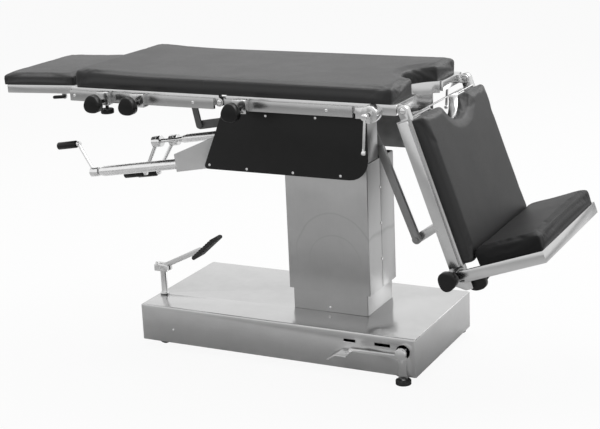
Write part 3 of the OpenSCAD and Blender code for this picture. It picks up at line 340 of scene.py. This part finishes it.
finishes = {
    "base_sheet": brushed_sheet("base_sheet", 0.60, "x"),
    "base_top_sheet": brushed_sheet("base_top_sheet", 0.60, "x", 0.19),
    "end_sheet": brushed_sheet("end_sheet", 0.66, "z", 0.36),
    "sleeve_sheet": brushed_sheet("sleeve_sheet", 0.48, "z", swirl=polishing_swirl),
    "column_sheet": brushed_sheet("column_sheet", 0.48, "x"),
    # The seat and back rails' steel is a darker copy of the leg rails' steel: painted shade.
    "rail_steel_painted_shade": brushed_sheet("rail_steel_painted_shade", 0.49, "x", 0.26),
    "leg_rail_steel": brushed_sheet("leg_rail_steel", 0.62, "x", 0.26),
    "tube_steel": brushed_sheet("tube_steel", 0.64, "x", 0.22),
    "bright_chrome": polished("bright_chrome", 0.80, 0.12),
    "satin_chrome": polished("satin_chrome", 0.70, 0.24),
    "light_enamel": enamel("light_enamel", 0.88, 0.34),
    "tube_chrome": polished("tube_chrome", 0.86, 0.26),
    "dark_coating": enamel("dark_coating", 0.13, 0.42, 0.3),
    "strut_coating": enamel("strut_coating", 0.32, 0.40, 0.3),
    "cast_grey": enamel("cast_grey", 0.20, 0.5, 0.5),
    "leather": black_leather("leather"),
    "foot_leather": black_leather("foot_leather", 0.16),
    "cover_black": black_moulding("cover_black", 0.42),
    # The far cover's inner face is painted light grey instead of its own black: painted light.
    "cover_inside_painted_light": black_moulding("cover_inside_painted_light", 0.55, 0.40),
    "knob_black": black_moulding("knob_black", 0.30),
    "rubber": dusty_rubber("rubber"),
}


# Pieces from the frame's own solids, with softened edges

def copy_of(node, name):
    """A copy of a node's mesh, with its loose triangles merged."""
    piece = bpy.data.objects.new(name, nodes[node].data.copy())
    bpy.context.scene.collection.objects.link(piece)
    edit(piece)
    bpy.ops.mesh.select_all(action="SELECT")
    bpy.ops.mesh.remove_doubles(threshold=0.000002)
    leave()
    hold(piece)
    bpy.ops.mesh.customdata_custom_splitnormals_clear()
    return piece


def painted(piece, finish):
    piece.data.materials.clear()
    piece.data.materials.append(finishes[finish])
    return piece


def on_body(piece, node, finish):
    painted(piece, finish)
    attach(piece, body_of_node[node])
    return piece


def softened(node, finish, edge, segments):
    """The node's own shape with its edges softened, standing for the node."""
    piece = copy_of(node, node + "_finished")
    edit(piece)
    bpy.ops.mesh.select_all(action="SELECT")
    bpy.ops.mesh.dissolve_limited(angle_limit=math.radians(0.5))
    leave()
    if edge:
        bevelled(piece, edge, segments)
    smooth(piece)
    on_body(piece, node, finish)
    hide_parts(node)
    return piece


# Finish and softened edge of each node that keeps its own shape
finish_of_node = {
    "base_cover": ("base_sheet", 0.0012), "base_chassis": ("cast_grey", 0),
    "inner_column": ("column_sheet", 0.0008), "hydraulic_unit": ("cast_grey", 0),
    "pump_post": ("satin_chrome", 0.001), "levelling_feet": ("tube_steel", 0.0008),
    "brake_pedal": ("bright_chrome", 0.001), "pump_pedal": ("satin_chrome", 0.001),
    "castor_fork_near": ("cast_grey", 0.0006), "castor_fork_far": ("cast_grey", 0.0006),
    "castor_wheel_near": ("rubber", 0.0015), "castor_wheel_far": ("rubber", 0.0015),
    "fixed_wheel_near": ("rubber", 0.0015), "fixed_wheel_far": ("rubber", 0.0015),
    "outer_column": ("sleeve_sheet", 0.0008), "lift_ram": ("bright_chrome", 0),
    "column_head": ("cast_grey", 0.001), "tilt_saddle": ("cast_grey", 0.001),
    "seat_frame": ("tube_steel", 0.001), "seat_brackets": ("tube_steel", 0.0008),
    "seat_rails": ("rail_steel_painted_shade", 0.0012), "near_side_cover": ("cover_black", 0.0008),
    "far_side_cover": ("cover_black", 0.0008), "end_plates": ("end_sheet", 0.0008),
    "seat_clamps": ("satin_chrome", 0.001), "seat_knob": ("knob_black", 0.004),
    "round_clamp_lever_near": ("bright_chrome", 0.0008),
    "round_clamp_lever_far": ("bright_chrome", 0.0008), "crank_housing": ("light_enamel", 0.0015),
    "crank_tubes": ("tube_chrome", 0.001), "crank_arm_1": ("bright_chrome", 0.001),
    "crank_arm_2": ("bright_chrome", 0.001), "crank_arm_3": ("bright_chrome", 0.001),
    "crank_grip_1": ("knob_black", 0.003), "crank_grip_2": ("knob_black", 0.003),
    "crank_grip_3": ("knob_black", 0.003), "back_rocker": ("dark_coating", 0.0008),
    "back_links": ("dark_coating", 0.0008), "back_frame": ("tube_steel", 0.001),
    "back_rails": ("rail_steel_painted_shade", 0.0012), "back_clamps": ("satin_chrome", 0.001),
    "back_knob_1": ("knob_black", 0.004), "back_knob_2": ("knob_black", 0.004),
    "underside_knob": ("knob_black", 0.003), "head_frame": ("tube_steel", 0.001),
    "head_lever": ("knob_black", 0.001), "strut_rod": ("strut_coating", 0.0006),
    "strut_tube": ("strut_coating", 0.0008), "leg_frame": ("tube_steel", 0.001),
    "leg_rails": ("leg_rail_steel", 0.0012), "foot_frame": ("tube_steel", 0.001),
    "foot_lock_knob_near": ("knob_black", 0.004), "foot_lock_knob_far": ("knob_black", 0.004),
    "foot_angle_knob": ("knob_black", 0.004),
}
piece_of_node = {}
enclosed_nodes = ("base_chassis", "hydraulic_unit")
wide_edge = 0.003
for node, (finish, edge) in finish_of_node.items():
    if node in enclosed_nodes:
        painted(nodes[node], finish)
    else:
        piece_of_node[node] = softened(node, finish, edge, 3 if edge >= wide_edge else 2)


# Leather pads: copies of the pads' solids, filled out by a short cloth simulation

def joined(pieces, name):
    deselect()
    for p in pieces:
        p.select_set(True)
    bpy.context.view_layer.objects.active = pieces[0]
    bpy.ops.object.join()
    pieces[0].name = name
    return pieces[0]


def upright(piece, turn, about):
    """Turns a pad about Y, so that it lies level, or back again."""
    piece.data.transform(
        Matrix.Translation(about) @ Matrix.Rotation(turn, 4, "Y") @ Matrix.Translation(-Vector(about)))


skirt = 0.012           # carried on below the base while the pad is filled
voxel = 0.005
held_height = 0.004     # above the base; what lies lower keeps its place
swell_limit = 0.0045    # how far a point may move
cloth_pressure = 3.0
cloth_frames = 15


def stuffed(piece, base):
    """Fills a level pad out above the height of its base, over a skirt that is cut off again."""
    for v in piece.data.vertices:
        if v.co.z < base + 0.001:
            v.co.z -= skirt
    modify(piece, "REMESH", mode="VOXEL", voxel_size=voxel, adaptivity=0.0)
    modify(piece, "SMOOTH", factor=0.5, iterations=1)
    start = [v.co.copy() for v in piece.data.vertices]
    hold(piece)
    cloth = piece.modifiers.new("cloth", "CLOTH")
    cloth.settings.use_pressure = True
    cloth.settings.uniform_pressure_force = cloth_pressure
    cloth.settings.effector_weights.gravity = 0
    cloth.settings.quality = 5
    held = piece.vertex_groups.new(name="held")
    low_points = [v.index for v in piece.data.vertices if v.co.z < base + held_height]
    held.add(low_points, 1.0, "REPLACE")
    cloth.settings.vertex_group_mass = "held"
    scene = bpy.context.scene
    for step in range(1, cloth_frames + 1):
        scene.frame_set(step)
    bpy.ops.object.modifier_apply(modifier=cloth.name)
    scene.frame_set(1)
    piece.vertex_groups.clear()
    for v, old in zip(piece.data.vertices, start):
        move = v.co - old
        if move.length > swell_limit:
            v.co = old + move * (swell_limit / move.length)
    modify(piece, "SUBSURF", levels=1, render_levels=1)
    edit(piece)
    bpy.ops.mesh.select_all(action="SELECT")
    bpy.ops.mesh.bisect(plane_co=(0, 0, base), plane_no=(0, 0, 1), use_fill=True, clear_inner=True)
    leave()
    return piece


top_mark = 0.62         # pad_height at the top of the pad's solid


def mark_seams(piece, base, top):
    """Stores each point's height on the pad and its place along it, for the seam and its stitches."""
    high = piece.data.attributes.new("pad_height", "FLOAT", "POINT")
    run = piece.data.attributes.new("pad_run", "FLOAT", "POINT")
    for i, v in enumerate(piece.data.vertices):
        high.data[i].value = (v.co.z - base) / (top - base) * top_mark
        run.data[i].value = v.co.x + v.co.y


back_low, back_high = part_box("back_pad")
seat_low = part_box("seat_pad")[0]
deck = back_low.z

mattress_nodes = ("back_pad", "pad_fold", "seat_pad")
mattress = joined([copy_of(n, n + "_leather") for n in mattress_nodes], "mattress")
stuffed(mattress, deck)

# The mattress is fuller towards its head end
end_rise = 0.009
rise_length = 0.27
rise_power = 1.5
full_from = back_low.x + rise_length
for v in mattress.data.vertices:
    share = max(0.0, min(1.0, (full_from - v.co.x) / (full_from - back_low.x)))
    v.co.z += end_rise * share ** rise_power * (v.co.z - deck) / (back_high.z - deck)
mark_seams(mattress, deck, back_high.z)


def cut_off(piece, cuts, name):
    """A copy of the piece, cut across X at each place, with its outer or inner part cleared."""
    part = piece.copy()
    part.data = piece.data.copy()
    part.name = name
    bpy.context.scene.collection.objects.link(part)
    for at, outer in cuts:
        edit(part)
        bpy.ops.mesh.select_all(action="SELECT")
        bpy.ops.mesh.bisect(plane_co=(at, 0, 0), plane_no=(1, 0, 0), use_fill=True,
                            clear_outer=outer, clear_inner=not outer)
        leave()
    return part


gap = 0.0002
leather_angle = 50
back_leather = cut_off(mattress, [(back_high.x, True)], "back_leather")
fold_leather = cut_off(mattress, [(back_high.x + gap, False), (seat_low.x - gap, True)], "fold_leather")
seat_leather = cut_off(mattress, [(seat_low.x, False)], "seat_leather")
bpy.data.objects.remove(mattress)
for piece, node in ((back_leather, "back_pad"), (seat_leather, "seat_pad")):
    smooth(piece, leather_angle)
    on_body(piece, node, "leather")
    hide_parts(node)
smooth(fold_leather, leather_angle)
painted(fold_leather, "leather")
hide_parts("pad_fold")
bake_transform(fold_leather)


def single_pad(node, slope, joint, finish="leather"):
    """A pad of its own: laid level about its hinge, filled and laid back."""
    turn = math.radians(slope)
    about = next(j for j in frame["joints"] if j["name"] == joint)["pos_m"]
    piece = copy_of(node, node + "_leather")
    upright(piece, -turn, about)
    level = [v.co.z for v in piece.data.vertices]
    base, top = min(level), max(level)
    stuffed(piece, base)
    mark_seams(piece, base, top)
    upright(piece, turn, about)
    smooth(piece, leather_angle)
    on_body(piece, node, finish)
    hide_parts(node)
    return piece


# Slopes, in degrees, of the sections in the photograph's pose
single_pad("head_pad", -2, "head_fold")
single_pad("leg_pad", 70, "leg_fold")
single_pad("foot_pad", -19.5, "foot_fold", "foot_leather")


def second_finish(node, finish, test):
    """Gives the faces of a node's piece that pass the test another finish."""
    piece = piece_of_node[node]
    piece.data.materials.append(finishes[finish])
    at = len(piece.data.materials) - 1
    for f in piece.data.polygons:
        if test(f.center, f.normal):
            f.material_index = at


def plate(name, low, high, edge, node, finish):
    """A flat plate between two corners (millimetres), with softened edges."""
    low, high = Vector(low) / 1000, Vector(high) / 1000
    deselect()
    bpy.ops.mesh.primitive_cube_add(size=1, location=(low + high) / 2)
    piece = bpy.context.object
    piece.name = name
    piece.scale = high - low
    place(piece)
    bevelled(piece, edge / 1000)
    smooth(piece)
    return on_body(piece, node, finish)


# Screws: one domed head with a socket, copied to each place

def screw_model(radius, height):
    deselect()
    bpy.ops.mesh.primitive_cylinder_add(vertices=20, radius=radius, depth=height,
                                        location=(0, 0, height / 2))
    piece = bpy.context.object
    pick_faces(piece, lambda f: f.normal.z > 0.9)
    bpy.ops.mesh.bevel(offset=height * 0.7, segments=3, affect="EDGES")
    pick_faces(piece, lambda f: f.normal.z > 0.99 and f.center.z > height * 0.99)
    bpy.ops.mesh.inset(thickness=radius * 0.18)
    bpy.ops.mesh.extrude_region_move(TRANSFORM_OT_translate={"value": (0, 0, -height * 0.5)})
    leave()
    smooth(piece, 40)
    return piece


def screws(name, model, spots, facing, node):
    """Copies of a screw at each spot (millimetres), facing one way, joined as one piece."""
    turn = Vector(facing).to_track_quat("Z", "Y").to_matrix().to_4x4()
    made = []
    for spot in spots:
        one = model.copy()
        one.data = model.data.copy()
        bpy.context.scene.collection.objects.link(one)
        one.matrix_world = Matrix.Translation(Vector(spot) / 1000) @ turn
        made.append(place(one))
    return on_body(joined(made, name), node, "bright_chrome")


small_screw = screw_model(0.0042, 0.0022)
large_screw = screw_model(0.0055, 0.003)
hinge_bolt = screw_model(0.0095, 0.006)

# Outer faces that the screws sit on (Y), and where they are on them (X, Z)
rail_y, cover_y, base_y, hinge_y, column_y = 266, 211, 228, 256, 94
cover_spots = ((-143, 604), (-17, 600), (135, 600), (287, 602), (54, 764), (214, 767))
back_rail_spots = ((-571, 803), (-154, 803))
seat_rail_spots = ((-30, 803), (276, 803))
side_screws = (
    ("cover_screws", small_screw, cover_y, cover_spots, "side_cover"),
    ("back_rail_screws", large_screw, rail_y, back_rail_spots, "back_rails"),
    ("seat_rail_screws", large_screw, rail_y, seat_rail_spots, "seat_rails"),
    ("base_screws", small_screw, base_y, ((-300, 66),), "base_cover"),
    ("leg_hinge_bolt", hinge_bolt, hinge_y, ((500.5, 811),), "leg_frame"),
    ("back_hinge_bolt", hinge_bolt, hinge_y, ((-71.5, 806),), "back_frame"),
)
for side, word in ((-1, "near"), (1, "far")):
    for name, model, y, spots, node in side_screws:
        places = [(x, side * y, z) for x, z in spots]
        carrier = f"{word}_{node}" if node == "side_cover" else node
        screws(f"{name}_{word}", model, places, (0, side, 0), carrier)
sleeve_end_x, lap_inner_x = 319.2, 318.4
sleeve_screw_heights = (520, 409, 297)
screws("column_screw", small_screw, [(182.5, -column_y, 154)], (0, -1, 0), "inner_column")
screws("sleeve_screws", small_screw, [(sleeve_end_x, -5, z) for z in sleeve_screw_heights], (1, 0, 0),
       "outer_column")
for model in (small_screw, large_screw, hinge_bolt):
    bpy.data.objects.remove(model)

# Sleeve: the sheet's lap along the middle of the leg end
plate("sleeve_lap", (lap_inner_x, -3, 207), (sleeve_end_x, 97, 607), 0.3, "outer_column", "sleeve_sheet")

# Pump pedal: ribs on the tread
tread_low, tread_high = Vector((-0.26146, -0.113, 0.279)), Vector((-0.19546, -0.113, 0.338))
tread_half_w, tread_half_t = 0.0325, 0.006
tread_run = tread_high - tread_low
rib_count = 9
rib_width, rib_height, rib_edge = 0.0035, 0.002, 0.0006
rib_lift = 0.0004
rib_end_gap = 0.002


def on_tread(c, _normal):
    from_low = c - tread_low
    t = max(0, min(1, from_low.dot(tread_run) / tread_run.length_squared))
    off = from_low - tread_run * t
    return Vector((off.x, 0, off.z)).length < tread_half_t * 1.1 and abs(off.y) < tread_half_w * 1.02


second_finish("pump_pedal", "rubber", on_tread)
tread_slope = math.atan2(tread_run.z, tread_run.x)
tread_normal = Vector((-math.sin(tread_slope), 0, math.cos(tread_slope)))
ribs = []
for i in range(rib_count):
    deselect()
    bpy.ops.mesh.primitive_cube_add(size=1)
    rib = bpy.context.object
    rib.scale = (rib_width, 2 * (tread_half_w - rib_end_gap), rib_height)
    rib.rotation_euler = (0, -tread_slope, 0)
    along = tread_run * (i / (rib_count - 1))
    rib.location = tread_low + along + tread_normal * (tread_half_t + rib_lift)
    place(rib)
    bevelled(rib, rib_edge)
    ribs.append(rib)
on_body(joined(ribs, "tread_ribs"), "pump_pedal", "rubber")

# Second finishes of the steel and moulded pieces
foot_rubber_top = 0.0122
hub_radius = 0.016
second_finish("base_cover", "base_top_sheet", lambda c, n: n.z > 0.9)
second_finish("levelling_feet", "rubber", lambda c, n: c.z < foot_rubber_top)
# The far cover's inner face takes a light grey finish, which is painted light.
second_finish("far_side_cover", "cover_inside_painted_light", lambda c, n: n.y < -0.9)
for node in ("castor_wheel_near", "castor_wheel_far", "fixed_wheel_near", "fixed_wheel_far"):
    wheel_low, wheel_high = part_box(node)
    axle = (wheel_low + wheel_high) / 2
    second_finish(node, "cast_grey", lambda c, n: math.hypot(c.x - axle.x, c.z - axle.z) < hub_radius)


# Camera at the photograph's place

azimuth, elevation, roll = math.radians(27.1), math.radians(15.9), math.radians(-2.5)
camera_at = Vector((column_x + 1.781, -3.7523, 1.6095))
back = Vector((math.sin(azimuth) * math.cos(elevation),
               -math.cos(azimuth) * math.cos(elevation), math.sin(elevation)))
level_right = Vector((math.cos(azimuth), math.sin(azimuth), 0))
level_up = back.cross(level_right)
right = math.cos(roll) * level_right + math.sin(roll) * level_up
up = math.cos(roll) * level_up - math.sin(roll) * level_right
bpy.ops.object.camera_add()
camera = bpy.context.object
camera.matrix_world = Matrix(((right.x, up.x, back.x, camera_at.x),
                              (right.y, up.y, back.y, camera_at.y),
                              (right.z, up.z, back.z, camera_at.z), (0, 0, 0, 1)))
camera.data.lens = 85.2
camera.data.sensor_width = 36
camera.data.clip_end = 60
bpy.context.scene.camera = camera


# Floor, lamps and world

floor_glow = 0.93       # how white the floor looks to the camera
sky_on_object = 0.30
sky_seen = 1.0

bpy.ops.mesh.primitive_plane_add(size=40, location=(0, 0, -0.0005))
floor = bpy.context.object
floor.name = "floor"
pale = Finish("pale_floor", Roughness=0.9)
pale.shader.inputs["Base Color"].default_value = (0.92, 0.92, 0.92, 1)
seen = pale.node("LightPath").out("Is Camera Ray") * floor_glow
white = pale.node("Emission", Strength=1.0)
backdrop = pale.node("MixShader", _0=seen, _1=Wire(pale, pale.shader.outputs[0]), _2=white)
output = next(n for n in pale.tree.nodes if n.type == "OUTPUT_MATERIAL")
pale.tree.links.new(backdrop.socket, output.inputs["Surface"])
floor.data.materials.append(pale.material)


def soft_lamp(name, at, target, width, power):
    bpy.ops.object.light_add(type="AREA", location=at)
    lamp = bpy.context.object
    lamp.name = name
    lamp.data.size = width
    lamp.data.energy = power
    lamp.rotation_euler = (Vector(target) - Vector(at)).to_track_quat("-Z", "Y").to_euler()


softbox_width = 2.6
soft_lamp("back_softbox", (1.9, 2.6, 3.2), (0.1, 0, 0.6), softbox_width, 68)
soft_lamp("top_softbox", (-0.8, 0.6, 3.6), (0, 0, 0.6), softbox_width, 60)

world = bpy.data.worlds.new("studio")
bpy.context.scene.world = world
world.use_nodes = True
sky = world.node_tree
background = next(n for n in sky.nodes if n.type == "BACKGROUND")
rays = sky.nodes.new("ShaderNodeLightPath")
seen_or_mirrored = sky.nodes.new("ShaderNodeMath")
seen_or_mirrored.operation = "MAXIMUM"
sky.links.new(rays.outputs["Is Camera Ray"], seen_or_mirrored.inputs[0])
sky.links.new(rays.outputs["Is Glossy Ray"], seen_or_mirrored.inputs[1])
level = sky.nodes.new("ShaderNodeMapRange")
level.inputs["To Min"].default_value = sky_on_object
level.inputs["To Max"].default_value = sky_seen
sky.links.new(seen_or_mirrored.outputs[0], level.inputs["Value"])
sky.links.new(level.outputs[0], background.inputs["Strength"])
background.inputs["Color"].default_value = (1, 1, 1, 1)

bpy.context.scene.view_settings.view_transform = "Standard"
